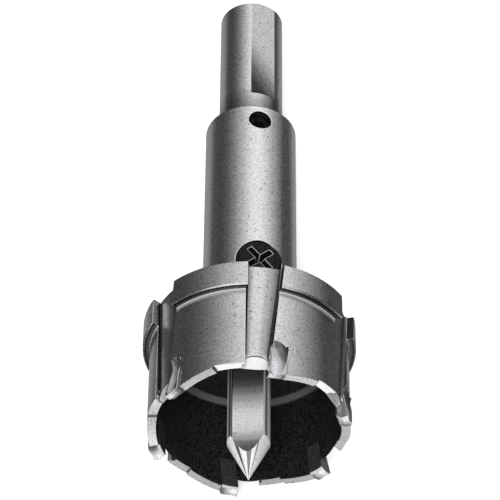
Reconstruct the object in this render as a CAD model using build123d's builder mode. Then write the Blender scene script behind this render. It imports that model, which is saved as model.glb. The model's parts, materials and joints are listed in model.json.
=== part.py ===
from build123d import *
import os
from math import asin, atan2, cos, degrees, radians, sin, tan

# A carbide-tipped hole cutter: a fluted cup with six brazed tips, a round shank and a centre drill.
# It is drawn along +Z with the tips' ridges at height 0, and is laid on its side at the end.
# Angles round the tool are counted from the direction in which the first flute is milled.
# All lengths are in mm.

# Cup, stop flange and hub
cutting_diameter = 38.1
cup_clearance = 0.4
cup_wall = 1.75
cup_depth = 20.5
cup_corner = 1.0
cup_ceiling = 4.8
flange_overhang = 0.95
flange_thickness = 5.6
hub_diameter = 18.0
hub_length = 50.2
edge_break = 0.25

# Flutes, spaced a little unevenly
flute_angles = [0.0, 60.0, 116.0, 176.0, 236.0, 297.0]
flute_left = 5.8
rake_offset = 1.6
rake_lean = 5.7
flute_depth = 1.15
flute_floor_lean = 1.6
flute_corner = 0.6

# Carbide tips and their seats
tip_width = 3.1
tip_height = 7.0
tip_inner_proud = 0.2
tip_ridge_inset = 1.2
tip_proud = 0.15
tip_relief = 4.0
inner_facet_angle = 32.0
outer_facet_angle = 8.0
braze_gap = 0.03

# Scoop over each tip
scoop_cutter_radius = 3.0
scoop_depth = 0.8
scoop_offset = 0.1
scoop_height = 6.0
scoop_lean_out = 10.0

# Ground rim behind each tip
land_height = 0.65
land_angle = 15.0
land_length = 7.2
land_relief = 11.5
rim_height = 2.55
gullet_angle = -12.3
gullet_width = 4.8
gullet_inner_height = 2.65
gullet_inner_arch = 0.1
gullet_outer_height = 4.0
gullet_outer_arch = 2.3
gullet_run_out = 0.25

# Shank
shank_diameter = 12.7
shank_length = 32.4
spigot_diameter = 11.5
spigot_length = 22.0
shank_end_chamfer = 0.5
shank_flat_depth = 0.54
shank_flat_angle = 8.0
shank_flat_start = 6.1

# Pilot drill
pilot_diameter = 8.0
pilot_reach = 9.8
pilot_point_length = 8.2
pilot_depth = 27.0
pilot_core = 4.6
pilot_flute_radius = 16.0
pilot_flute_angle = -22.0
pilot_flute_top = 19.0
pilot_flat_depth = 0.5

# Screws in the hub
screw_angle = -4.0
pilot_screw_rise = 10.2
pilot_screw_thread = 5.0
pilot_screw_head = 8.6
pilot_screw_head_height = 2.1
pilot_screw_recess = 6.0
pilot_screw_recess_width = 1.2
pilot_screw_recess_depth = 1.4
pilot_screw_recess_turn = 42.0
pilot_screw_recess_taper = 12.0
set_screw_drop = 3.8
set_screw_diameter = 4.5
set_screw_socket = 2.2
set_screw_socket_depth = 1.3
set_screw_below_surface = 1.6
dimple_depth = 1.0

# Clearances
sliding_gap = 0.02
thread_gap = 0.04
head_gap = 0.15
end_gap = 0.2
cut_over = 3.0

# Radii and heights that follow from the sizes above
cutting_radius = cutting_diameter / 2
cup_radius = cutting_radius - cup_clearance
cup_bore_radius = cup_radius - cup_wall
flange_radius = cutting_radius + flange_overhang
flute_floor_at_rim = cup_radius - flute_depth
tip_inner_radius = cup_bore_radius - tip_inner_proud
tip_ridge_radius = cutting_radius - tip_ridge_inset
hub_radius = hub_diameter / 2
shank_radius = shank_diameter / 2
spigot_radius = spigot_diameter / 2
pilot_radius = pilot_diameter / 2
flange_top = cup_depth + cup_ceiling
flange_bottom = flange_top - flange_thickness
hub_top = flange_top + hub_length
shank_end = hub_top + shank_length
spigot_foot = hub_top - spigot_length
pilot_top = cup_depth + pilot_depth
flute_places = [Location((0, 0, 0), (0, 0, angle)) for angle in flute_angles]


def side_plane(angle, height=0.0):
    """Plane that looks along a radius: X runs round the tool, Y along its axis and Z outwards."""
    turn = radians(angle)
    return Plane(origin=(0, 0, height), x_dir=(cos(turn), sin(turn), 0), z_dir=(sin(turn), -cos(turn), 0))


def rake_x(height, proud=0.0):
    """Place across the flute of its leaning wall, or of a tip's face that stands proud of it."""
    return height * tan(radians(rake_lean)) - rake_offset - proud


def tip_outline(gap):
    """Corners of a tip seen from outside, grown by a gap at its faces and its top."""
    low = -cut_over
    high = tip_height + gap
    front = tip_proud + gap
    back = tip_proud - tip_width - gap
    return [
        (rake_x(low, front), low),
        (rake_x(low, back), low),
        (rake_x(high, back), high),
        (rake_x(high, front), high),
    ]


# Flute cutter: upright on one side and leaning with the rake on the other, with a broken corner at its
# foot, over a slightly tapered floor
flute_low = -cut_over
flute_high = flange_top + cut_over
floor_slope = tan(radians(flute_floor_lean))
floor_low = flute_floor_at_rim + flute_low * floor_slope
floor_high = flute_floor_at_rim + flute_high * floor_slope
with BuildPart() as flute_cutter:
    with BuildSketch(Plane.XZ):
        with BuildLine():
            Polyline(
                (-flute_left, flute_low),
                (rake_x(flute_low), flute_low),
                (rake_x(flute_high), flute_high),
                (-flute_left, flute_high),
                close=True,
            )
        make_face()
    extrude(amount=flange_radius + cut_over)
    with BuildSketch(Plane.XZ):
        with BuildLine():
            Polyline(
                (0, flute_low),
                (floor_low, flute_low),
                (floor_high, flute_high),
                (0, flute_high),
                close=True,
            )
        make_face()
    revolve(axis=Axis.Z, mode=Mode.SUBTRACT)
    floor_edges = flute_cutter.faces().sort_by(Axis.Y)[-1].edges()
    chamfer(floor_edges.sort_by(Axis.X)[-1], flute_corner)

# Scoop cutter: a ball-nosed capsule that leans with the rake and runs out towards the tip's end
scoop_axis_radius = cup_radius - scoop_depth + scoop_cutter_radius
scoop_centre = (-scoop_offset, -scoop_axis_radius, scoop_height)
scoop_direction = (-tan(radians(rake_lean)), -tan(radians(scoop_lean_out)), -1)
with BuildPart(Plane(origin=scoop_centre, z_dir=scoop_direction)) as scoop_cutter:
    Sphere(scoop_cutter_radius)
    Cylinder(scoop_cutter_radius, scoop_height + cut_over, align=(Align.CENTER, Align.CENTER, Align.MIN))


def rim_outline(pitch):
    """Side of the cut along the rim: a sloping land behind a tip, a small step up, then the level rim."""
    start = -land_length / 2
    end = start + land_length
    rise = land_length * tan(radians(land_relief))
    next_tip = cup_bore_radius * sin(radians(pitch - land_angle))
    return [
        (start, land_height),
        (end, land_height + rise),
        (end, rim_height),
        (next_tip, rim_height),
        (next_tip, -cut_over),
        (start, -cut_over),
    ]


# Gullet cutter: opens the flute's thin floor at the rim, from a low flat edge to a higher arched one
gullet_half = gullet_width / 2
gullet_ends = [
    (cup_bore_radius - gullet_run_out, gullet_inner_height, gullet_inner_arch),
    (flute_floor_at_rim + gullet_run_out, gullet_outer_height, gullet_outer_arch),
]
with BuildPart() as gullet_cutter:
    for distance, height, arch in gullet_ends:
        with BuildSketch(side_plane(gullet_angle).offset(distance)):
            with BuildLine():
                Polyline(
                    (-gullet_half, height),
                    (-gullet_half, -cut_over),
                    (gullet_half, -cut_over),
                    (gullet_half, height),
                )
                ThreePointArc((gullet_half, height), (0, height + arch), (-gullet_half, height))
            make_face()
    loft()

# Cutter body: hub, stop flange and cup turned in one piece, then milled and ground
screw_axis = side_plane(screw_angle, flange_top + pilot_screw_rise)
set_screw_axis = side_plane(screw_angle, hub_top - set_screw_drop)
pilot_screw_seat = hub_radius - pilot_screw_head_height
with BuildPart() as cutter_body:
    with BuildSketch(Plane.XZ):
        with BuildLine():
            Polyline(
                (0, pilot_top + end_gap),
                (pilot_radius + sliding_gap, pilot_top + end_gap),
                (pilot_radius + sliding_gap, cup_depth),
                (cup_bore_radius, cup_depth),
                (cup_bore_radius, land_height),
                (cup_radius, land_height),
                (cup_radius, flange_bottom),
                (flange_radius, flange_bottom),
                (flange_radius, flange_top),
                (hub_radius, flange_top),
                (hub_radius, hub_top),
                (spigot_radius + sliding_gap, hub_top),
                (spigot_radius + sliding_gap, spigot_foot - end_gap),
                (0, spigot_foot - end_gap),
                close=True,
            )
        make_face()
    revolve(axis=Axis.Z)
    rims = cutter_body.edges().filter_by(GeomType.CIRCLE)
    flange_edges = rims.filter_by(lambda edge: edge.radius > cup_radius + edge_break)
    hub_edge = rims.filter_by_position(Axis.Z, hub_top, hub_top).sort_by(SortBy.RADIUS)[-1]
    ceiling_edge = rims.filter_by_position(Axis.Z, cup_depth, cup_depth).sort_by(SortBy.RADIUS)[-1]
    chamfer([*flange_edges, hub_edge], edge_break)
    chamfer(ceiling_edge, cup_corner)
    with Locations(flute_places):
        add(flute_cutter.part, mode=Mode.SUBTRACT)
        add(scoop_cutter.part, mode=Mode.SUBTRACT)
        add(gullet_cutter.part, mode=Mode.SUBTRACT)
    for number, angle in enumerate(flute_angles):
        pitch = (flute_angles[number - len(flute_angles) + 1] - angle) % 360
        with BuildSketch(side_plane(angle + land_angle)):
            with BuildLine():
                Polyline(*rim_outline(pitch), close=True)
            make_face()
        extrude(amount=cup_radius + cut_over, mode=Mode.SUBTRACT)
        with BuildSketch(side_plane(angle)):
            with BuildLine():
                Polyline(*tip_outline(braze_gap), close=True)
            make_face()
        extrude(amount=cup_radius + cut_over, mode=Mode.SUBTRACT)
    with BuildSketch(screw_axis.offset(pilot_screw_seat)):
        Circle(pilot_screw_head / 2 + head_gap)
    extrude(amount=pilot_screw_head_height + cut_over, mode=Mode.SUBTRACT)
    with BuildSketch(screw_axis):
        Circle(pilot_screw_thread / 2 + thread_gap)
    extrude(amount=hub_radius, mode=Mode.SUBTRACT)
    with BuildSketch(set_screw_axis):
        Circle(set_screw_diameter / 2 + thread_gap)
    extrude(amount=hub_radius + cut_over, mode=Mode.SUBTRACT)

# Carbide tips: one is shaped and the others are the same piece turned to the next flute
relief = radians(tip_relief)
roof_plane = Plane(origin=(rake_x(0, tip_proud), 0, 0), x_dir=(0, -1, 0), z_dir=(-cos(relief), 0, -sin(relief)))
inner_facet_rise = tan(radians(inner_facet_angle))
outer_facet_rise = tan(radians(outer_facet_angle))
with BuildPart() as first_tip:
    with BuildSketch(Plane.XZ):
        with BuildLine():
            Polyline(*tip_outline(0), close=True)
        make_face()
    extrude(amount=cutting_radius + cut_over)
    with BuildSketch(roof_plane):
        with BuildLine():
            Polyline(
                (tip_ridge_radius, 0),
                (tip_ridge_radius + cut_over, cut_over * outer_facet_rise),
                (tip_ridge_radius + cut_over, tip_height + cut_over),
                (tip_ridge_radius - cut_over, tip_height + cut_over),
                (tip_ridge_radius - cut_over, cut_over * inner_facet_rise),
                close=True,
            )
        make_face()
    extrude(amount=tip_width + cut_over, both=True, mode=Mode.INTERSECT)
    with BuildSketch():
        Circle(cutting_radius)
        Circle(tip_inner_radius, mode=Mode.SUBTRACT)
    extrude(amount=tip_height + cut_over, mode=Mode.INTERSECT)
    add(scoop_cutter.part, mode=Mode.SUBTRACT)

# Shank: a round bar with one flat, seated on the hub's end by its spigot and held by the set screw
set_screw_foot = spigot_radius - dimple_depth
with BuildPart() as shank:
    with BuildSketch(Plane.XY.offset(hub_top)):
        Circle(shank_radius)
    extrude(amount=shank_length)
    with BuildSketch(Plane.XY.offset(hub_top)):
        Circle(spigot_radius)
    extrude(amount=-spigot_length)
    shank_rims = shank.edges().filter_by(GeomType.CIRCLE).group_by(Axis.Z)
    chamfer([*shank_rims[0], *shank_rims[-1]], shank_end_chamfer)
    with BuildSketch(side_plane(shank_flat_angle).offset(shank_radius - shank_flat_depth)):
        with BuildLine():
            Polyline(
                (-shank_radius, hub_top + shank_flat_start),
                (shank_radius, hub_top + shank_flat_start),
                (shank_radius, shank_end + cut_over),
                (-shank_radius, shank_end + cut_over),
                close=True,
            )
        make_face()
    extrude(amount=shank_radius, mode=Mode.SUBTRACT)
    with BuildSketch(set_screw_axis.offset(set_screw_foot)):
        Circle(set_screw_diameter / 2 + thread_gap)
    extrude(amount=shank_radius, mode=Mode.SUBTRACT)

# Pilot drill: a round bar with a long point and two shallow straight flutes
pilot_flute_distance = pilot_core / 2 + pilot_flute_radius
pilot_flat_radius = pilot_radius - pilot_flat_depth
with BuildPart() as pilot_drill:
    with BuildSketch(Plane.XZ):
        with BuildLine():
            Polyline(
                (0, -pilot_reach),
                (pilot_radius, pilot_point_length - pilot_reach),
                (pilot_radius, pilot_top - edge_break),
                (pilot_radius - edge_break, pilot_top),
                (0, pilot_top),
                close=True,
            )
        make_face()
    revolve(axis=Axis.Z)
    with BuildSketch(Plane.XY.offset(-pilot_reach)):
        with PolarLocations(pilot_flute_distance, 2, start_angle=pilot_flute_angle - 90):
            Circle(pilot_flute_radius)
    extrude(amount=pilot_reach + pilot_flute_top, mode=Mode.SUBTRACT)
    with BuildSketch(screw_axis.offset(pilot_flat_radius)):
        Rectangle(pilot_diameter, pilot_screw_head)
    extrude(amount=pilot_radius, mode=Mode.SUBTRACT)

# Pilot screw: sunk in a spot face, with a tapered cross recess
with BuildPart() as pilot_screw:
    with BuildSketch(screw_axis.offset(pilot_flat_radius)):
        Circle(pilot_screw_thread / 2)
    extrude(amount=pilot_screw_seat - pilot_flat_radius)
    with BuildSketch(screw_axis.offset(pilot_screw_seat)):
        Circle(pilot_screw_head / 2)
    extrude(amount=pilot_screw_head_height)
    head_face = pilot_screw.faces().sort_by(Axis((0, 0, 0), screw_axis.z_dir))[-1]
    chamfer(head_face.edges(), edge_break)
    with BuildSketch(screw_axis.offset(hub_radius)):
        with PolarLocations(0, 4, start_angle=pilot_screw_recess_turn):
            Rectangle(pilot_screw_recess / 2, pilot_screw_recess_width, align=(Align.MIN, Align.CENTER))
    extrude(amount=-pilot_screw_recess_depth, taper=pilot_screw_recess_taper, mode=Mode.SUBTRACT)

# Set screw: wholly inside the hub wall, with its foot in a dimple of the shank's spigot
set_screw_top = hub_radius - set_screw_below_surface
with BuildPart() as shank_set_screw:
    with BuildSketch(set_screw_axis.offset(set_screw_foot)):
        Circle(set_screw_diameter / 2)
    extrude(amount=set_screw_top - set_screw_foot)
    with BuildSketch(set_screw_axis.offset(set_screw_top)):
        RegularPolygon(set_screw_socket / 2, 6, major_radius=False)
    extrude(amount=-set_screw_socket_depth, mode=Mode.SUBTRACT)

# The tool lies on the flange's edge, at the sides of the flute opposite the first, and on the shank's end
opposite_flute_angle = min(flute_angles, key=lambda angle: abs(angle - 180))
contact_left = degrees(asin(-flute_left / flange_radius))
contact_right = degrees(asin(rake_x(flange_top) / flange_radius))
contact_middle = (contact_left + contact_right) / 2
rest_turn = opposite_flute_angle - 180 + contact_middle
flange_contact = flange_radius * cos(radians(contact_right - contact_middle))
support_length = (shank_end - shank_end_chamfer) - (flange_top - edge_break)
rest_tilt = degrees(atan2(flange_contact - shank_radius, support_length))
lying = Location((0, 0, 0), (-90 - rest_tilt, 0, 0)) * Location((0, 0, 0), (0, 0, -rest_turn))

pieces = {
    "cutter_body": cutter_body,
    "shank": shank,
    "pilot_drill": pilot_drill,
    "pilot_screw": pilot_screw,
    "shank_set_screw": shank_set_screw,
}
for number, place in enumerate(flute_places):
    with BuildPart() as carbide_tip:
        with Locations(place):
            add(first_tip.part)
    pieces[f"carbide_tip_{number + 1}"] = carbide_tip

laid = {name: piece.part.moved(lying) for name, piece in pieces.items()}
box = Compound(children=list(laid.values())).bounding_box()
floor_centre = Location((-box.center().X, -box.center().Y, -box.min.Z))

os.makedirs("parts", exist_ok=True)
for name, piece in pieces.items():
    piece.part = piece.part.moved(floor_centre * lying)
    piece.part.label = name
    export_step(piece.part, f"parts/{name}.step")
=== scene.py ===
import json
import math

import bmesh
import bpy
import numpy as np
from mathutils import Euler, Matrix, Vector


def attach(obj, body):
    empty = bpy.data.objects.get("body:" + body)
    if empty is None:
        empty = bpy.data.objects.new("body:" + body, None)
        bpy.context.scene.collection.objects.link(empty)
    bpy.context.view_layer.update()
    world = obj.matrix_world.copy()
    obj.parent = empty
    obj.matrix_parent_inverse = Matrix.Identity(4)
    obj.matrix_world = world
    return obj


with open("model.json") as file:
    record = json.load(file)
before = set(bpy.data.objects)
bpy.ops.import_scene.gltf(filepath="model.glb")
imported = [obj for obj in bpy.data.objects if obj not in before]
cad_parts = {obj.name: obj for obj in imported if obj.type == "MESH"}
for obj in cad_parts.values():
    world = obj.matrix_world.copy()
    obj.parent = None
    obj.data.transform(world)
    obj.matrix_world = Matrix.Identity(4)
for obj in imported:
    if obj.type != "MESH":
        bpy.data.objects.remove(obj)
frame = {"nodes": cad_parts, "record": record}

bpy.context.view_layer.update()


# The tool's own axes. Its origin is the point of its axis between the tips' ridges, and its own
# up direction runs to the shank. The shank is the clamping pin of the record, so it gives both.
nodes = frame["nodes"]
shank_pin = next(mount for mount in frame["record"]["mounts"] if mount["name"] == "shank")
ridge_to_shank_middle = 0.09145
tool_up = Vector(shank_pin["axis"]).normalized()
tool_origin = Vector(shank_pin["pos_m"]) - ridge_to_shank_middle * tool_up
tool_tilt = math.pi / 2 + math.atan2(-tool_up.z, tool_up.y)
tool_turn = math.radians(-11.1031)
to_tool = Euler((tool_tilt, 0, tool_turn)).to_matrix()

# The view: the camera looks into the cup's mouth from above and a little to one side.
view_turn = math.radians(16.0)
view_rise = math.radians(37.0)
view_pitch = math.radians(4.02)
view_roll = math.radians(0.42)
view_distance = 0.4863
view_lens = 191.45
view_axes = to_tool.transposed() @ Matrix.Rotation(-view_turn, 3, "Z")
eye = view_distance * Vector((0, -math.cos(view_rise), -math.sin(view_rise)))
ahead = -eye.normalized()
right = Vector((1, 0, 0))
up = right.cross(ahead)
ahead = ahead * math.cos(view_pitch) + up * math.sin(view_pitch)
up = right.cross(ahead)
rolled_right = math.cos(view_roll) * right + math.sin(view_roll) * up
rolled_up = -math.sin(view_roll) * right + math.cos(view_roll) * up
camera_axes = Matrix((rolled_right, rolled_up, -ahead)).transposed()
camera_data = bpy.data.cameras.new("camera")
camera_data.lens = view_lens
camera_data.sensor_width = 36.0
camera_data.clip_start = 0.01
camera = bpy.data.objects.new("camera", camera_data)
camera_place = Matrix.Translation(tool_origin + view_axes @ eye)
camera.matrix_world = camera_place @ (view_axes @ camera_axes).to_4x4()
bpy.context.scene.collection.objects.link(camera)
bpy.context.scene.camera = camera
bpy.context.scene.view_settings.view_transform = "Standard"


# The floor is a plain pale sheet that the camera sees white. In reflections it shows a painted pool
# of light, dim and darker further off, and two painted bright strips before the mouth that glow.
def add_node(tree, kind, **settings):
    """A new shader node. Settings are its properties, or its sockets where it has no such property."""
    node = tree.nodes.new(kind)
    for name, value in settings.items():
        if hasattr(node, name):
            setattr(node, name, value)
        else:
            node.inputs[name.replace("_", " ")].default_value = value
    return node


def new_material(name):
    """An empty material, its node tree and its own Principled shader."""
    material = bpy.data.materials.new(name)
    material.use_nodes = True
    tree = material.node_tree
    return material, tree, tree.nodes["Principled BSDF"]


def calculate(tree, operation, first, second=None, third=None, clamp=False):
    """A math node fed by sockets or plain numbers, giving its output socket."""
    node = add_node(tree, "ShaderNodeMath", operation=operation, use_clamp=clamp)
    for number, given in enumerate((first, second, third)):
        if isinstance(given, (int, float)):
            node.inputs[number].default_value = given
        elif given is not None:
            tree.links.new(given, node.inputs[number])
    return node.outputs["Value"]


def combine(tree, operation, *values):
    """One operation carried through several values, from the first to the last."""
    result = values[0]
    for value in values[1:]:
        result = calculate(tree, operation, result, value)
    return result


def spread(tree, value, low, high, to_low, to_high):
    """A clamped linear range from one pair of values to another."""
    node = add_node(
        tree, "ShaderNodeMapRange", From_Min=low, From_Max=high, To_Min=to_low, To_Max=to_high
    )
    tree.links.new(value, node.inputs["Value"])
    return node.outputs["Result"]


def mix_colours(tree, factor, first, second):
    """The first colour where the factor is 0 and the second where it is 1."""
    node = add_node(tree, "ShaderNodeMix", data_type="RGBA")
    tree.links.new(factor, node.inputs["Factor"])
    for name, given in (("A", first), ("B", second)):
        if isinstance(given, tuple):
            node.inputs[name].default_value = (*given, 1.0)
        else:
            tree.links.new(given, node.inputs[name])
    return node.outputs["Result"]


floor_reach = 3.0
floor_pale = (0.82, 0.82, 0.82)
oval_scale = (1.0, 0.4, 1.0)
lift_strength = 0.35
strip_strength = 0.45
floor_corners = np.array([(-1, -1, 0), (1, -1, 0), (1, 1, 0), (-1, 1, 0)]) * floor_reach
floor_mesh = bpy.data.meshes.new("floor")
floor_mesh.from_pydata(floor_corners.tolist(), [], [(0, 1, 2, 3)])
floor = bpy.data.objects.new("floor", floor_mesh)
bpy.context.scene.collection.objects.link(floor)
floor_paint, tree, shader = new_material("floor_paint")
shader.inputs["Roughness"].default_value = 0.9
shader.inputs["Specular IOR Level"].default_value = 0.0
shader.inputs["Emission Color"].default_value = (1.0, 1.0, 1.0, 1.0)
place = add_node(tree, "ShaderNodeTexCoord")
oval = add_node(tree, "ShaderNodeMapping", Scale=oval_scale)
distance = add_node(tree, "ShaderNodeVectorMath", operation="LENGTH")
along = add_node(tree, "ShaderNodeSeparateXYZ")
tree.links.new(place.outputs["Object"], oval.inputs["Vector"])
tree.links.new(oval.outputs["Vector"], distance.inputs[0])
tree.links.new(place.outputs["Object"], along.inputs["Vector"])
# Painted light for rays other than the camera's: a pool near the tool and two glowing strips in front.
painted_pool = spread(tree, distance.outputs["Value"], 0.027, 0.043, 0.25, 0.06)
near_strip = spread(tree, along.outputs["Y"], -0.046, -0.052, 0.0, 0.4)
bright_strip = spread(tree, along.outputs["Y"], -0.074, -0.082, 0.0, 0.6)
strip_end = spread(tree, along.outputs["Y"], -0.098, -0.106, 1.0, 0.2)
painted_strips = calculate(tree, "MULTIPLY", calculate(tree, "ADD", near_strip, bright_strip), strip_end)
rays = add_node(tree, "ShaderNodeLightPath")
by_camera = rays.outputs["Is Camera Ray"]
by_mirror = rays.outputs["Is Glossy Ray"]
shown = combine(tree, "MAXIMUM", by_camera, by_mirror, rays.outputs["Is Transmission Ray"])
level = combine(tree, "MAXIMUM", painted_pool, painted_strips, by_camera)
lift = combine(tree, "MULTIPLY", shown, level, lift_strength)
strip_glow = combine(tree, "MULTIPLY", by_mirror, painted_strips, strip_strength)
pool_floor_colour = mix_colours(tree, level, (0.0, 0.0, 0.0), floor_pale)
tree.links.new(pool_floor_colour, shader.inputs["Base Color"])
tree.links.new(calculate(tree, "ADD", lift, strip_glow), shader.inputs["Emission Strength"])
floor_mesh.materials.append(floor_paint)


# The room is dim, with one wide soft light high behind the tool, a small card above it and a wide
# card in front of the cup's mouth. The camera sees plain white beyond the floor.
def grey_ramp(tree, value, steps, between):
    """A grey by steps, which are pairs of place and level from 0 to 1, and how it goes between."""
    node = add_node(tree, "ShaderNodeValToRGB")
    node.color_ramp.interpolation = between
    while len(node.color_ramp.elements) < len(steps):
        node.color_ramp.elements.new(0.5)
    for element, (position, level) in zip(node.color_ramp.elements, steps):
        element.position = position
        element.color = (level, level, level, 1.0)
    tree.links.new(value, node.inputs["Fac"])
    return node.outputs["Color"]


def soft_light(tree, direction, steps, gain=1.5):
    """How bright the room is by the angle from a light's middle: steps pair that angle's cosine
    with a level. A ramp holds no level over 1, so the steps are divided by the gain and the result
    is multiplied by it."""
    place = add_node(tree, "ShaderNodeTexCoord")
    towards = add_node(tree, "ShaderNodeVectorMath", operation="DOT_PRODUCT")
    towards.inputs[1].default_value = Vector(direction).normalized()
    tree.links.new(place.outputs["Generated"], towards.inputs[0])
    held = [(cosine, level / gain) for cosine, level in steps]
    ramp = grey_ramp(tree, towards.outputs["Value"], held, "CARDINAL")
    brighter = add_node(tree, "ShaderNodeVectorMath", operation="SCALE", Scale=gain)
    tree.links.new(ramp, brighter.inputs[0])
    return brighter.outputs["Vector"]


overhead_direction = (-0.085, 0.16, 0.98)
overhead_steps = [(0.0, 0.0), (0.9, 0.0), (0.95, 0.5), (0.98, 1.3), (1.0, 1.4)]
high_direction = (0.154, 0.720, 0.677)
high_steps = [
    (0.0, 0.07), (0.2, 0.07), (0.42, 0.10), (0.6, 0.18),
    (0.77, 0.43), (0.9, 0.82), (0.97, 1.2), (1.0, 1.4),
]
mouth_direction = (-0.05, -0.75, 0.66)
mouth_steps = [(0.0, 0.0), (0.7, 0.0), (0.8, 0.35), (0.88, 1.1), (0.95, 1.32), (1.0, 1.32)]
world = bpy.data.worlds.new("room")
world.use_nodes = True
bpy.context.scene.world = world
tree = world.node_tree
backdrop = tree.nodes["Background"]
cards = add_node(tree, "ShaderNodeVectorMath", operation="ADD")
room_light = add_node(tree, "ShaderNodeVectorMath", operation="ADD")
rays = add_node(tree, "ShaderNodeLightPath")
tree.links.new(soft_light(tree, overhead_direction, overhead_steps), cards.inputs[0])
tree.links.new(soft_light(tree, mouth_direction, mouth_steps), cards.inputs[1])
tree.links.new(soft_light(tree, high_direction, high_steps), room_light.inputs[0])
tree.links.new(cards.outputs["Vector"], room_light.inputs[1])
behind = mix_colours(
    tree, rays.outputs["Is Camera Ray"], room_light.outputs["Vector"], (1.0, 1.0, 1.0)
)
tree.links.new(behind, backdrop.inputs["Color"])

# A soft lamp over the camera's shoulder lights the floor and the inside of the cup.
lamp_data = bpy.data.lights.new("front_lamp", "AREA")
lamp_data.shape = "DISK"
lamp_data.size = 0.35
lamp_data.energy = 6.5
lamp = bpy.data.objects.new("front_lamp", lamp_data)
lamp.location = (-0.12, -0.42, 0.72)
lamp_target = Vector((0, 0, 0.02))
lamp.rotation_euler = (lamp_target - lamp.location).to_track_quat("-Z", "Y").to_euler()
lamp.visible_glossy = False
bpy.context.scene.collection.objects.link(lamp)


# Cup, stop flange and hub are turned from one bar of tool steel, ground, and blasted very fine, so
# they are bright and lightly speckled. Six flutes are milled over them; their floors carry a painted
# highlight in the middle and painted shade at the sides, and their leaning walls, the flange's
# underside, the scoops and the inner corners carry painted shade too. The cup's bore is coloured
# near black, with a painted highlight ring in its corner.
def tool_axes_group():
    """Each point in the tool's own axes: its place, its distance from the axis, its height along
    it, and its angle round it, which is 0 at the first flute and grows towards the second."""
    group = bpy.data.node_groups.new("tool_axes", "ShaderNodeTree")
    sockets = (("Place", "Vector"), ("Radius", "Float"), ("Angle", "Float"), ("Height", "Float"))
    for name, kind in sockets:
        group.interface.new_socket(name=name, in_out="OUTPUT", socket_type="NodeSocket" + kind)
    out = group.nodes.new("NodeGroupOutput")
    place = add_node(group, "ShaderNodeTexCoord")
    turned = add_node(group, "ShaderNodeMapping", vector_type="POINT")
    turned.inputs["Rotation"].default_value = (tool_tilt, 0.0, tool_turn)
    turned.inputs["Location"].default_value = -(to_tool @ tool_origin)
    parts = add_node(group, "ShaderNodeSeparateXYZ")
    across = add_node(group, "ShaderNodeCombineXYZ")
    radius = add_node(group, "ShaderNodeVectorMath", operation="LENGTH")
    group.links.new(place.outputs["Object"], turned.inputs["Vector"])
    group.links.new(turned.outputs["Vector"], parts.inputs["Vector"])
    group.links.new(parts.outputs["X"], across.inputs["X"])
    group.links.new(parts.outputs["Y"], across.inputs["Y"])
    group.links.new(across.outputs["Vector"], radius.inputs[0])
    facing = calculate(group, "MULTIPLY", parts.outputs["Y"], -1.0)
    angle = calculate(group, "ARCTAN2", parts.outputs["X"], facing)
    group.links.new(angle, out.inputs["Angle"])
    group.links.new(turned.outputs["Vector"], out.inputs["Place"])
    group.links.new(radius.outputs["Value"], out.inputs["Radius"])
    group.links.new(parts.outputs["Z"], out.inputs["Height"])
    return group


def blasted_group():
    """A fine-blasted surface: Grain is a soft even noise about one half, Pits are sparse dark
    specks from 0 to 1, and Clouds are slow changes over several mm. Place is in metres, and Size
    is the grain's own size."""
    group = bpy.data.node_groups.new("blasted_surface", "ShaderNodeTree")
    for name, kind in (("Place", "Vector"), ("Size", "Float")):
        group.interface.new_socket(name=name, in_out="INPUT", socket_type="NodeSocket" + kind)
    for name in ("Grain", "Pits", "Clouds"):
        group.interface.new_socket(name=name, in_out="OUTPUT", socket_type="NodeSocketFloat")
    given = group.nodes.new("NodeGroupInput")
    out = group.nodes.new("NodeGroupOutput")
    density = calculate(group, "DIVIDE", 1.0, given.outputs["Size"])
    askew = add_node(group, "ShaderNodeMapping", vector_type="POINT", Rotation=(0.5, 0.7, 0.3))
    group.links.new(given.outputs["Place"], askew.inputs["Vector"])
    textures = []
    for share, detail, shift in ((1.0, 2.0, 0.0), (0.55, 1.0, 3.7), (0.035, 3.0, 8.2)):
        moved = add_node(group, "ShaderNodeVectorMath", operation="ADD")
        moved.inputs[1].default_value = (shift, -shift, 0.5 * shift)
        noise = add_node(group, "ShaderNodeTexNoise", Detail=detail, Roughness=0.6)
        group.links.new(askew.outputs["Vector"], moved.inputs[0])
        group.links.new(moved.outputs["Vector"], noise.inputs["Vector"])
        group.links.new(calculate(group, "MULTIPLY", density, share), noise.inputs["Scale"])
        textures.append(noise.outputs["Fac"])
    group.links.new(textures[0], out.inputs["Grain"])
    group.links.new(spread(group, textures[1], 0.66, 0.75, 0.0, 1.0), out.inputs["Pits"])
    group.links.new(textures[2], out.inputs["Clouds"])
    return group


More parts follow.
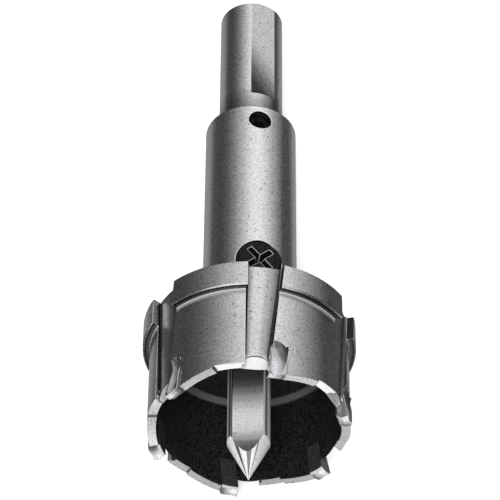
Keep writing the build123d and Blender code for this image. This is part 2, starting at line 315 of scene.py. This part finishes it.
def edges_group():
    """What the shape itself does to a finish. Edges is 1 along an outer edge, which is rubbed
    bright and carries a painted highlight. Corners is 1 in an inner corner, where the materials paint
    shade. Normal is the surface's own, rounded over at each edge."""
    group = bpy.data.node_groups.new("rubbed_highlight_and_corner_shade", "ShaderNodeTree")
    for name in ("Edge", "Corner"):
        group.interface.new_socket(name=name, in_out="INPUT", socket_type="NodeSocketFloat")
    for name, kind in (("Edges", "Float"), ("Corners", "Float"), ("Normal", "Vector")):
        group.interface.new_socket(name=name, in_out="OUTPUT", socket_type="NodeSocket" + kind)
    given = group.nodes.new("NodeGroupInput")
    out = group.nodes.new("NodeGroupOutput")
    rounded = add_node(group, "ShaderNodeBevel", samples=6)
    within = add_node(group, "ShaderNodeAmbientOcclusion", samples=6, inside=True, only_local=True)
    around = add_node(group, "ShaderNodeAmbientOcclusion", samples=6)
    group.links.new(given.outputs["Edge"], rounded.inputs["Radius"])
    group.links.new(given.outputs["Edge"], within.inputs["Distance"])
    group.links.new(given.outputs["Corner"], around.inputs["Distance"])
    edges = spread(group, within.outputs["AO"], 0.5, 0.95, 1.0, 0.0)
    corners = spread(group, around.outputs["AO"], 0.45, 0.95, 1.0, 0.0)
    group.links.new(edges, out.inputs["Edges"])
    group.links.new(corners, out.inputs["Corners"])
    group.links.new(rounded.outputs["Normal"], out.inputs["Normal"])
    return group


tool_axes = tool_axes_group()
blasted = blasted_group()
rubbed_highlight_and_shade = edges_group()


def use_group(tree, group, **values):
    """A group placed in a material, with its own values."""
    node = add_node(tree, "ShaderNodeGroup", node_tree=group)
    for name, value in values.items():
        node.inputs[name].default_value = value
    return node


def tool_surface(tree, grain_size):
    """The tool's axes in a material, and its blasted surface with grains of one size."""
    axes = use_group(tree, tool_axes)
    surface = use_group(tree, blasted, Size=grain_size)
    tree.links.new(axes.outputs["Place"], surface.inputs["Place"])
    return axes, surface


def by_grain(tree, surface, low, high, reach=0.2):
    """A value that goes from low to high with the grain, over the reach on both sides of a half."""
    return spread(tree, surface.outputs["Grain"], 0.5 - reach, 0.5 + reach, low, high)


def bump(tree, shader, height, reach, normal):
    """Gives a shader a bump that stands up to reach metres out of the given normal."""
    node = add_node(tree, "ShaderNodeBump", Strength=1.0, Distance=reach)
    tree.links.new(height, node.inputs["Height"])
    tree.links.new(normal, node.inputs["Normal"])
    tree.links.new(node.outputs["Normal"], shader.inputs["Normal"])


def shade(tree, colour, tone):
    """A colour made darker or lighter by a tone about 1."""
    node = add_node(tree, "ShaderNodeVectorMath", operation="SCALE")
    node.inputs[0].default_value = colour
    tree.links.new(tone, node.inputs["Scale"])
    return node.outputs["Vector"]


def inside(tree, value, low, high, soft=0.00002):
    """1 where a value lies between two limits, with soft sides."""
    over = spread(tree, value, low - soft, low + soft, 0.0, 1.0)
    under = spread(tree, value, high - soft, high + soft, 1.0, 0.0)
    return calculate(tree, "MULTIPLY", over, under)


def only_where(tree, mask, tone):
    """A tone where the mask is 1, and 1 elsewhere."""
    return calculate(tree, "MULTIPLY_ADD", mask, calculate(tree, "SUBTRACT", tone, 1.0), 1.0)


flute_degrees = (0.0, 60.0, 116.0, 176.0, 236.0, 297.0)


def flute_place(tree, axes):
    """How far a point lies across the nearest flute, from 0 at its upright wall to 1 at its leaning
    one. The flute's angle comes off the point's own, and the sine of what is left times the radius
    is the distance across, which is set against the flute's width at the point's height."""
    upright_wall = 0.0058
    leaning_wall_foot = 0.0016
    leaning_wall_slope = math.tan(math.radians(5.7))
    steps = [(0.0, 0.0)]
    for near, far in zip(flute_degrees, (*flute_degrees[1:], 360.0)):
        steps.append(((near + far) / 2 / 360, far / 360))
    turns = calculate(tree, "FRACT", calculate(tree, "DIVIDE", axes.outputs["Angle"], 2 * math.pi))
    nearest = grey_ramp(tree, turns, steps, "CONSTANT")
    off = calculate(tree, "MULTIPLY", calculate(tree, "SUBTRACT", turns, nearest), 2 * math.pi)
    sideways = calculate(tree, "MULTIPLY", calculate(tree, "SINE", off), axes.outputs["Radius"])
    lean = calculate(tree, "MULTIPLY", axes.outputs["Height"], leaning_wall_slope)
    width = calculate(tree, "ADD", lean, upright_wall - leaning_wall_foot)
    return calculate(tree, "DIVIDE", calculate(tree, "ADD", sideways, upright_wall), width)


def scoop_painted_light(tree, axes, across):
    """The painted light in a scoop: a painted highlight at its open lower corner by the flute and
    painted shade in its closed one.
    """
    back = spread(tree, across, 1.0, 1.6, 0.0, 0.6)
    high = spread(tree, axes.outputs["Height"], 0.003, 0.0088, 0.0, 0.6)
    steps = [(0.0, 1.0), (0.2, 0.95), (0.4, 0.6), (0.65, 0.16), (1.0, 0.03)]
    return grey_ramp(tree, calculate(tree, "ADD", back, high), steps, "EASE")


steel_grey = (0.60, 0.60, 0.61)
# Outer edges are rubbed bright, and this lighter colour is partly a painted highlight along them.
rubbed_highlight_steel = (0.90, 0.90, 0.90)
bore_black = (0.012, 0.012, 0.012)
cup_radius = 0.01865
cup_bore_radius = 0.0169
cup_depth = 0.0205
rim_top = 0.0035
flute_least_radius = 0.0172
web_mouth_radius = 0.0174
flute_floor_reach = 0.01846
wall_shadow_radius = 0.0180
scoop_foot = 0.001
scoop_top = 0.0098
groove_foot = 0.018
flange_start = 0.0197
flange_outside = 0.0201
flange_chamfer_radius = 0.01976
ring_radius = 0.0156
ring_height = 0.0008
hair = 0.00001
margin = 0.0001
chatter_marks = 290.0
# Painted light on the flute floors: a painted highlight in the middle, painted shade towards both
# walls and a black painted shadow line along the upright wall.
flute_floor_painted_light = [
    (0.0, 0.0), (0.075, 0.02), (0.1, 0.5), (0.26, 0.95),
    (0.45, 0.95), (0.68, 0.6), (0.88, 0.33), (1.0, 0.22),
]
cutter_finish, tree, shader = new_material("ground_cutter_steel")
axes, surface = tool_surface(tree, grain_size=0.00036)
shape = use_group(tree, rubbed_highlight_and_shade, Edge=0.00022, Corner=0.0007)
radius = axes.outputs["Radius"]
height = axes.outputs["Height"]
across = flute_place(tree, axes)
in_bore = calculate(tree, "LESS_THAN", radius, cup_bore_radius + margin)
in_cup = calculate(tree, "LESS_THAN", height, cup_depth + margin)
bore = calculate(tree, "MULTIPLY", in_bore, in_cup)
on_floor = combine(
    tree,
    "MULTIPLY",
    inside(tree, radius, flute_least_radius, flute_floor_reach),
    inside(tree, across, 0.004, 1.0, 0.001),
    spread(tree, height, rim_top + 0.0005, rim_top + 0.002, 0.0, 1.0),
)
on_leaning_wall = combine(
    tree,
    "MULTIPLY",
    inside(tree, across, 0.985, 1.002, 0.001),
    inside(tree, radius, flute_least_radius, flange_outside),
)
in_scoop = combine(
    tree,
    "MULTIPLY",
    inside(tree, across, 1.004, 1.85, 0.001),
    inside(tree, radius, flute_least_radius, cup_radius - 7 * hair),
    inside(tree, height, scoop_foot, scoop_top, margin),
)
under_flange = combine(
    tree,
    "MULTIPLY",
    inside(tree, height, flange_start - 5 * hair, flange_start + 5 * hair, hair),
    inside(tree, radius, cup_radius + 5 * hair, flange_chamfer_radius),
)
# A painted highlight band on the wall just under the flange, brightest at the top.
groove_painted_highlight = combine(
    tree,
    "MULTIPLY",
    spread(tree, height, groove_foot + 0.0005, groove_foot + 0.0015, 0.0, 0.7),
    inside(tree, height, groove_foot, flange_start + 2 * hair, hair),
    inside(tree, radius, cup_radius - 5 * hair, cup_radius + 5 * hair),
)
flute_edge = combine(
    tree,
    "MULTIPLY",
    inside(tree, across, -0.12, 1.12, 0.01),
    spread(tree, height, rim_top + 0.001, rim_top + 0.0015, 0.0, 1.0),
    spread(tree, radius, web_mouth_radius, web_mouth_radius + margin, 0.0, 1.0),
)
# Where the painted highlight ring lies in the bore's ceiling corner.
ceiling_highlight_ring = combine(
    tree,
    "MULTIPLY",
    inside(tree, height, cup_depth - ring_height, cup_depth + margin, margin),
    inside(tree, radius, ring_radius, cup_bore_radius + margin, 2 * margin),
)
brightest_grain = spread(tree, height, rim_top, rim_top + 0.001, 1.0, 1.26)
grain = calculate(tree, "MINIMUM", by_grain(tree, surface, 0.7, 1.26), brightest_grain)
pits = only_where(tree, surface.outputs["Pits"], 0.42)
clouds = spread(tree, surface.outputs["Clouds"], 0.3, 0.7, 0.95, 1.05)
# Painted highlight and painted shade across each flute floor.
flute_floor_shading = only_where(tree, on_floor, grey_ramp(tree, across, flute_floor_painted_light, "EASE"))
# Painted shade in inner corners.
corner_shade = only_where(tree, shape.outputs["Corners"], 0.1)
# Painted shade on each leaning wall, darker out towards the cup's outside.
leaning_wall_shade_tone = spread(tree, radius, wall_shadow_radius, wall_shadow_radius + 0.0004, 0.42, 0.06)
leaning_wall_shade = only_where(tree, on_leaning_wall, leaning_wall_shade_tone)
chatter = calculate(
    tree, "SINE", calculate(tree, "MULTIPLY", axes.outputs["Angle"], chatter_marks)
)
# Painted shade under the flange, darkest at its outer edge, broken up by real chatter marks.
ledge_shade_and_chatter = combine(
    tree,
    "MULTIPLY",
    spread(tree, radius, 0.0187, 0.0195, 0.55, 0.03),
    spread(tree, chatter, -0.6, 0.6, 0.35, 1.0),
)
ledge_painted_shade = only_where(tree, under_flange, ledge_shade_and_chatter)
# Painted light in the scoops: bright at the open lower corner, painted shade in the closed upper one.
scoop_light_tone = calculate(tree, "MULTIPLY", scoop_painted_light(tree, axes, across), 1.3)
scoop_shading = only_where(tree, in_scoop, scoop_light_tone)
tones = combine(tree, "MULTIPLY", grain, pits, clouds, flute_floor_shading, corner_shade, leaning_wall_shade, ledge_painted_shade, scoop_shading)
# Rubbed edges with a painted highlight, weaker along the flute edges and near the rim, and none in the
# scoops.
outer_edges = combine(
    tree,
    "MULTIPLY",
    shape.outputs["Edges"],
    only_where(tree, flute_edge, 0.25),
    only_where(tree, in_scoop, 0.0),
    spread(tree, height, rim_top, rim_top + 0.001, 0.15, 1.0),
)
bare_and_highlight = calculate(tree, "MAXIMUM", outer_edges, groove_painted_highlight)
edged = mix_colours(tree, bare_and_highlight, shade(tree, steel_grey, tones), rubbed_highlight_steel)
# The bore is coloured near black with a speckle, and its ceiling corner gets a painted highlight ring.
bore_tone = combine(
    tree,
    "ADD",
    combine(
        tree,
        "MULTIPLY",
        by_grain(tree, surface, 0.0, 2.2, reach=0.1),
        calculate(tree, "SUBTRACT", 1.0, ceiling_highlight_ring),
    ),
    calculate(tree, "MULTIPLY", by_grain(tree, surface, 5.5, 8.5), ceiling_highlight_ring),
)
cutter_colour = mix_colours(tree, bore, edged, shade(tree, bore_black, bore_tone))
tree.links.new(cutter_colour, shader.inputs["Base Color"])
satin_scoop = calculate(tree, "MULTIPLY", in_scoop, 0.55)
satin = combine(tree, "MAXIMUM", groove_painted_highlight, satin_scoop, bore)
tree.links.new(spread(tree, satin, 0.0, 1.0, 1.0, 0.2), shader.inputs["Metallic"])
rough = combine(
    tree,
    "ADD",
    by_grain(tree, surface, 0.18, 0.3),
    calculate(tree, "MULTIPLY", bore, 0.3),
    calculate(tree, "MULTIPLY", on_floor, 0.12),
)
tree.links.new(rough, shader.inputs["Roughness"])
bump(tree, shader, surface.outputs["Grain"], reach=0.000006, normal=shape.outputs["Normal"])
nodes["cutter_body"].material_slots[0].material = cutter_finish


# At the mouth each flute leaves a thin web of the cup's wall, which is ground to a short bright
# slope from its outer side down to the bore. The webs are part of the cup and end at the tips.
web_turn = math.radians(-12.3)
web_half_width = 0.00242
web_bore_radius = 0.016905
web_floor_radius = 0.01747
web_floor_slope = math.tan(math.radians(1.6))
web_inner_height = 0.00225
web_inner_rise = 0.0003
web_outer_height = 0.0031
web_outer_arch = 0.0018
web_height_on_bore = 0.0019
web_arch_on_bore = 0.0006
web_height_in_wall = 0.0012
half_circle = 1.0014
half_circle_foot = 0.0374
half_circle_top = 0.9633


def gullet_web_points(flute_angle, columns=33):
    """One web: a closed outline of four corners, carried from side to side across the flute. The
    slope's inner corner lies on the bore and rises a little to the sides, as a parabola. Its outer
    corner lies on the flute's floor and follows a half circle. The other two run up inside the
    wall."""
    side = np.linspace(-1.0, 1.0, columns)
    arch = (np.sqrt(half_circle - side**2) - half_circle_foot) / half_circle_top
    inner_height = web_inner_height + web_inner_rise * side**2
    outer_height = web_outer_height + web_outer_arch * arch
    heights = np.stack([
        inner_height,
        outer_height,
        outer_height + web_height_in_wall,
        inner_height + web_height_on_bore + web_arch_on_bore * arch,
    ])
    radii = np.stack([
        np.full(columns, web_bore_radius),
        web_floor_radius + web_floor_slope * heights[1],
        web_floor_radius + web_floor_slope * heights[2],
        np.full(columns, web_bore_radius),
    ])
    sideways = np.broadcast_to(side * web_half_width, radii.shape)
    outwards = np.sqrt(radii**2 - sideways**2)
    turn = flute_angle + web_turn
    across_x = sideways * math.cos(turn) + outwards * math.sin(turn)
    across_y = sideways * math.sin(turn) - outwards * math.cos(turn)
    return np.stack([across_x, across_y, heights], axis=-1).transpose(1, 0, 2)


slope_grey = (0.62, 0.62, 0.62)
slope_line_radius = 0.01740
slope_finish, tree, shader = new_material("ground_gullet_slope")
shader.inputs["Metallic"].default_value = 0.45
axes, surface = tool_surface(tree, grain_size=0.0003)
grain = by_grain(tree, surface, 0.84, 1.08)
pits = only_where(tree, surface.outputs["Pits"], 0.4)
floor_lean = calculate(tree, "MULTIPLY", axes.outputs["Height"], web_floor_slope)
from_floor = calculate(tree, "SUBTRACT", axes.outputs["Radius"], floor_lean)
# Darker in a thin line along the slope's upper edge.
slope_top_line = spread(tree, from_floor, slope_line_radius, slope_line_radius + 2 * hair, 1.0, 0.1)
toned = shade(tree, slope_grey, combine(tree, "MULTIPLY", grain, pits, slope_top_line))
tree.links.new(toned, shader.inputs["Base Color"])
tree.links.new(by_grain(tree, surface, 0.3, 0.42, reach=0.25), shader.inputs["Roughness"])
webs = np.stack([gullet_web_points(math.radians(degree)) for degree in flute_degrees])
web_count, columns, corners = webs.shape[:3]
faces = []
slopes = []
for number in range(web_count):
    first = number * columns * corners
    last = first + (columns - 1) * corners
    here = first + np.arange(columns - 1)[:, None] * corners
    corner = np.arange(corners)[None, :]
    following = (corner + 1) % corners
    quads = np.stack(
        [here + corner, here + following, here + corners + following, here + corners + corner],
        axis=-1,
    )
    faces += quads.reshape(-1, 4).tolist()
    slopes += [1, 0, 0, 0] * (columns - 1)
    faces += [[first + c for c in range(corners)], [last + c for c in range(corners)]]
    slopes += [0, 0]
web_points = webs.reshape(-1, 3) @ np.array(to_tool) + np.array(tool_origin)
web_mesh = bpy.data.meshes.new("gullet_webs")
web_mesh.from_pydata(web_points.tolist(), [], faces)
web_mesh.materials.append(cutter_finish)
web_mesh.materials.append(slope_finish)
web_mesh.polygons.foreach_set("material_index", slopes)
facing_out = bmesh.new()
facing_out.from_mesh(web_mesh)
bmesh.ops.recalc_face_normals(facing_out, faces=facing_out.faces)
facing_out.to_mesh(web_mesh)
facing_out.free()
gullet_webs = bpy.data.objects.new("gullet_webs", web_mesh)
bpy.context.scene.collection.objects.link(gullet_webs)
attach(gullet_webs, "root")


# A plain round bar of ground steel, seated on the hub's end and held by the set screw. The flat
# carries painted shade, darkest at its lower end, and the bar's foot by the hub has painted shade.
shank_grey = (0.62, 0.62, 0.63)
flat_turn = math.radians(8.0)
flat_distance = 0.00581
flat_start = 0.0816
flat_end = 0.1079
flat_slant = 58.0
flat_painted_shade = [(0.0, 0.08), (0.16, 0.25), (0.26, 0.47), (0.35, 0.7), (0.46, 0.93), (0.6, 1.0)]
foot_start = 0.0755
foot_end = 0.0835
foot_painted_shade = [(0.0, 0.08), (0.1, 0.3), (0.4, 0.5), (0.75, 0.72), (1.0, 1.0)]
shank_finish, tree, shader = new_material("ground_shank_steel")
shader.inputs["Metallic"].default_value = 1.0
axes, surface = tool_surface(tree, grain_size=0.00034)
shape = use_group(tree, rubbed_highlight_and_shade, Edge=0.00018, Corner=0.003)
radius = axes.outputs["Radius"]
height = axes.outputs["Height"]
grain = by_grain(tree, surface, 0.74, 1.22)
pits = only_where(tree, surface.outputs["Pits"], 0.45)
# Painted shade in inner corners, reaching far along the foot by the hub.
corner_shade = only_where(tree, shape.outputs["Corners"], 0.1)
off_flat = calculate(tree, "SUBTRACT", axes.outputs["Angle"], flat_turn)
outwards = calculate(tree, "MULTIPLY", calculate(tree, "COSINE", off_flat), radius)
sideways = calculate(tree, "MULTIPLY", calculate(tree, "SINE", off_flat), radius)
on_flat = combine(
    tree,
    "MULTIPLY",
    inside(tree, outwards, flat_distance - 2 * hair, flat_distance + 2 * hair, hair),
    spread(tree, height, flat_start - 5 * hair, flat_start, 0.0, 1.0),
)
up_flat = combine(
    tree,
    "ADD",
    spread(tree, height, flat_start, flat_end, 0.0, 1.0),
    calculate(tree, "MULTIPLY", sideways, flat_slant),
)
# Painted shade on the flat, darkest at its lower end.
flat_shade_ramp = grey_ramp(tree, up_flat, flat_painted_shade, "EASE")
flat_shade = calculate(tree, "MAXIMUM", flat_shade_ramp, calculate(tree, "SUBTRACT", 1.0, on_flat))
# Painted shade on the bar's foot next to the hub.
up_foot = spread(tree, height, foot_start, foot_end, 0.0, 1.0)
foot_shade = grey_ramp(tree, up_foot, foot_painted_shade, "EASE")
toned = shade(tree, shank_grey, combine(tree, "MULTIPLY", grain, pits, corner_shade, flat_shade, foot_shade))
# Rubbed edges with a painted highlight.
edged = mix_colours(tree, shape.outputs["Edges"], toned, rubbed_highlight_steel)
tree.links.new(edged, shader.inputs["Base Color"])
tree.links.new(by_grain(tree, surface, 0.16, 0.24, reach=0.25), shader.inputs["Roughness"])
bump(tree, shader, surface.outputs["Grain"], reach=0.000005, normal=shape.outputs["Normal"])
nodes["shank"].material_slots[0].material = shank_finish


# The centre drill is ground all over and left with a fine satin surface, so it scatters the light
# that falls into the cup. Its point and lands carry painted reflections in narrow bands, the same on
# both halves. Its flutes carry painted shade, dark under the cup's rim and along their sides, and
# are brightest where they run out at the point.
drill_grey = (0.84, 0.84, 0.85)
cone_slope = 4.0 / 8.2
drill_reach = 0.0098
cone_skin = 0.00007
land_radius = 0.00396
flute_side_radius = 0.00372
cone_painted_reflections = [
    (0.00, 1.0), (0.083, 1.0), (0.09, 0.1), (0.108, 0.1), (0.115, 0.85),
    (0.41, 0.8), (0.42, 0.95), (0.615, 0.95), (0.625, 0.1), (0.69, 0.1),
    (0.70, 1.0), (0.855, 1.0), (0.865, 0.22), (0.978, 0.22), (0.988, 1.0),
]
land_painted_reflections = [
    (0.13, 0.8), (0.175, 0.8), (0.19, 0.2), (0.23, 0.2), (0.245, 1.0),
    (0.41, 1.0), (0.42, 0.85), (0.53, 0.85), (0.55, 0.05), (0.61, 0.05),
]
drill_flute_painted_shade = [
    (0.0, 0.12), (0.06, 0.2), (0.14, 0.5), (0.25, 0.85), (0.35, 1.0), (0.45, 1.0),
    (0.52, 0.95), (0.6, 0.75), (0.7, 0.48), (0.8, 0.25), (0.9, 0.11), (1.0, 0.07),
]
drill_finish, tree, shader = new_material("ground_drill_steel")
shader.inputs["Metallic"].default_value = 0.3
axes, surface = tool_surface(tree, grain_size=0.0003)
shape = use_group(tree, rubbed_highlight_and_shade, Edge=0.00014, Corner=0.0008)
radius = axes.outputs["Radius"]
height = axes.outputs["Height"]
cone_radius = calculate(tree, "MULTIPLY_ADD", height, cone_slope, drill_reach * cone_slope)
off_cone = calculate(tree, "ABSOLUTE", calculate(tree, "SUBTRACT", radius, cone_radius))
on_cone = spread(tree, off_cone, cone_skin, cone_skin + 2 * hair, 1.0, 0.0)
off_point = calculate(tree, "SUBTRACT", 1.0, on_cone)
far_out = spread(tree, radius, land_radius, land_radius + 2 * hair, 0.0, 1.0)
on_land = calculate(tree, "MULTIPLY", far_out, off_point)
on_flute = calculate(tree, "SUBTRACT", 1.0, calculate(tree, "MAXIMUM", on_cone, on_land))
turns = calculate(tree, "FRACT", calculate(tree, "DIVIDE", axes.outputs["Angle"], 2 * math.pi))
half_turns = calculate(tree, "FRACT", calculate(tree, "MULTIPLY", turns, 2.0))
# Painted reflections in bands on the point and the lands.
cone_reflection_tone = grey_ramp(tree, half_turns, cone_painted_reflections, "LINEAR")
land_reflection_tone = grey_ramp(tree, half_turns, land_painted_reflections, "LINEAR")
side_shift = spread(tree, half_turns, 0.4, 0.6, 0.00018, 0.0)
side_radius = calculate(tree, "SUBTRACT", radius, side_shift)
# Painted shade along each flute's sides and under the cup's rim, bright at the point.
flute_side_shade = spread(tree, side_radius, flute_side_radius, flute_side_radius + 6 * hair, 1.0, 0.1)
up_flute = spread(tree, height, -0.004, 0.012, 0.0, 1.0)
drill_flute_shade_tone = calculate(tree, "MULTIPLY", grey_ramp(tree, up_flute, drill_flute_painted_shade, "EASE"), flute_side_shade)
painted_light_bands = combine(
    tree,
    "ADD",
    calculate(tree, "MULTIPLY", on_cone, cone_reflection_tone),
    calculate(tree, "MULTIPLY", on_flute, drill_flute_shade_tone),
    calculate(tree, "MULTIPLY", on_land, land_reflection_tone),
)
grain = by_grain(tree, surface, 0.86, 1.1)
pits = only_where(tree, surface.outputs["Pits"], 0.5)
# Painted shade in inner corners.
corner_shade = only_where(tree, shape.outputs["Corners"], 0.3)
toned = shade(tree, drill_grey, combine(tree, "MULTIPLY", grain, pits, corner_shade, painted_light_bands))
# Rubbed edges with a painted highlight.
edged = mix_colours(tree, shape.outputs["Edges"], toned, rubbed_highlight_steel)
tree.links.new(edged, shader.inputs["Base Color"])
tree.links.new(by_grain(tree, surface, 0.3, 0.42, reach=0.25), shader.inputs["Roughness"])
bump(tree, shader, surface.outputs["Grain"], reach=0.000005, normal=shape.outputs["Normal"])
nodes["pilot_drill"].material_slots[0].material = drill_finish


# Six tips of sintered carbide, brazed in their seats and ground on every open face. The upper back
# corner of each scoop has painted shade, and the faces towards the bore are coloured near black.
carbide_grey = (0.55, 0.55, 0.57)
tip_bore_face_black = (0.035, 0.035, 0.035)
tip_bore_radius = 0.0168
tip_count = 6
tip_finish, tree, shader = new_material("ground_carbide")
axes, surface = tool_surface(tree, grain_size=0.0002)
shape = use_group(tree, rubbed_highlight_and_shade, Edge=0.00014, Corner=0.0008)
radius = axes.outputs["Radius"]
across = flute_place(tree, axes)
scooped = combine(
    tree,
    "MULTIPLY",
    inside(tree, radius, flute_least_radius, 0.01886, 0.00003),
    inside(tree, across, 1.02, 2.0, 0.005),
)
facing_bore = spread(tree, radius, tip_bore_radius - 5 * hair, tip_bore_radius, 1.0, 0.0)
# The same painted light and shade of the scoop, carried onto the tip.
scoop_light_tone = calculate(tree, "MULTIPLY", scoop_painted_light(tree, axes, across), 1.4)
tip_scoop_shading = only_where(tree, scooped, scoop_light_tone)
grain = by_grain(tree, surface, 0.82, 1.15)
open_corners = calculate(tree, "SUBTRACT", shape.outputs["Corners"], scooped, clamp=True)
open_edges = calculate(tree, "SUBTRACT", shape.outputs["Edges"], scooped, clamp=True)
# Painted shade in open inner corners.
corner_shade = only_where(tree, open_corners, 0.25)
toned = shade(tree, carbide_grey, combine(tree, "MULTIPLY", grain, corner_shade, tip_scoop_shading))
# Rubbed edges with a painted highlight, none in the scoop.
edged = mix_colours(tree, open_edges, toned, rubbed_highlight_steel)
# The tip's face towards the bore is coloured near black, as the bore is.
tip_bore_face_tone = shade(tree, tip_bore_face_black, by_grain(tree, surface, 0.3, 1.7, reach=0.15))
tree.links.new(mix_colours(tree, facing_bore, edged, tip_bore_face_tone), shader.inputs["Base Color"])
satin = calculate(tree, "MAXIMUM", facing_bore, calculate(tree, "MULTIPLY", scooped, 0.55))
tree.links.new(spread(tree, satin, 0.0, 1.0, 1.0, 0.2), shader.inputs["Metallic"])
tree.links.new(by_grain(tree, surface, 0.24, 0.34, reach=0.25), shader.inputs["Roughness"])
bump(tree, shader, surface.outputs["Grain"], reach=0.000004, normal=shape.outputs["Normal"])
for number in range(tip_count):
    nodes[f"carbide_tip_{number + 1}"].material_slots[0].material = tip_finish


# Both screws are hardened and blackened. The oxide is thin, a little oily, and worn bright on the
# edges of the pilot screw's recess, partly as a painted highlight.
oxide_black = (0.008, 0.008, 0.009)
pilot_screw_turn = math.radians(4.0)
pilot_screw_height = 0.0355
recess_radius = 0.0033
screw_finish, tree, shader = new_material("black_oxide")
shader.inputs["Metallic"].default_value = 0.5
shader.inputs["Specular IOR Level"].default_value = 0.08
axes, surface = tool_surface(tree, grain_size=0.0003)
shape = use_group(tree, rubbed_highlight_and_shade, Edge=0.00018, Corner=0.0025)
oxide = shade(tree, oxide_black, by_grain(tree, surface, 0.2, 2.2, reach=0.1))
off_screw = calculate(tree, "ADD", axes.outputs["Angle"], pilot_screw_turn)
sine = calculate(tree, "SINE", off_screw)
across_head = calculate(tree, "MULTIPLY", sine, axes.outputs["Radius"])
along_head = calculate(tree, "SUBTRACT", axes.outputs["Height"], pilot_screw_height)
along_square = calculate(tree, "MULTIPLY", along_head, along_head)
squares = calculate(tree, "MULTIPLY_ADD", across_head, across_head, along_square)
from_middle = calculate(tree, "SQRT", squares)
# Worn edges of the recess with a painted highlight, patchy by the clouds.
worn_and_highlight = combine(
    tree,
    "MULTIPLY",
    shape.outputs["Edges"],
    spread(tree, from_middle, recess_radius, recess_radius + 0.0003, 1.0, 0.0),
    spread(tree, surface.outputs["Clouds"], 0.44, 0.56, 0.15, 1.0),
)
tree.links.new(mix_colours(tree, worn_and_highlight, oxide, rubbed_highlight_steel), shader.inputs["Base Color"])
tree.links.new(by_grain(tree, surface, 0.28, 0.42), shader.inputs["Roughness"])
bump(tree, shader, surface.outputs["Grain"], reach=0.00001, normal=shape.outputs["Normal"])
for name in ("pilot_screw", "shank_set_screw"):
    nodes[name].material_slots[0].material = screw_finish
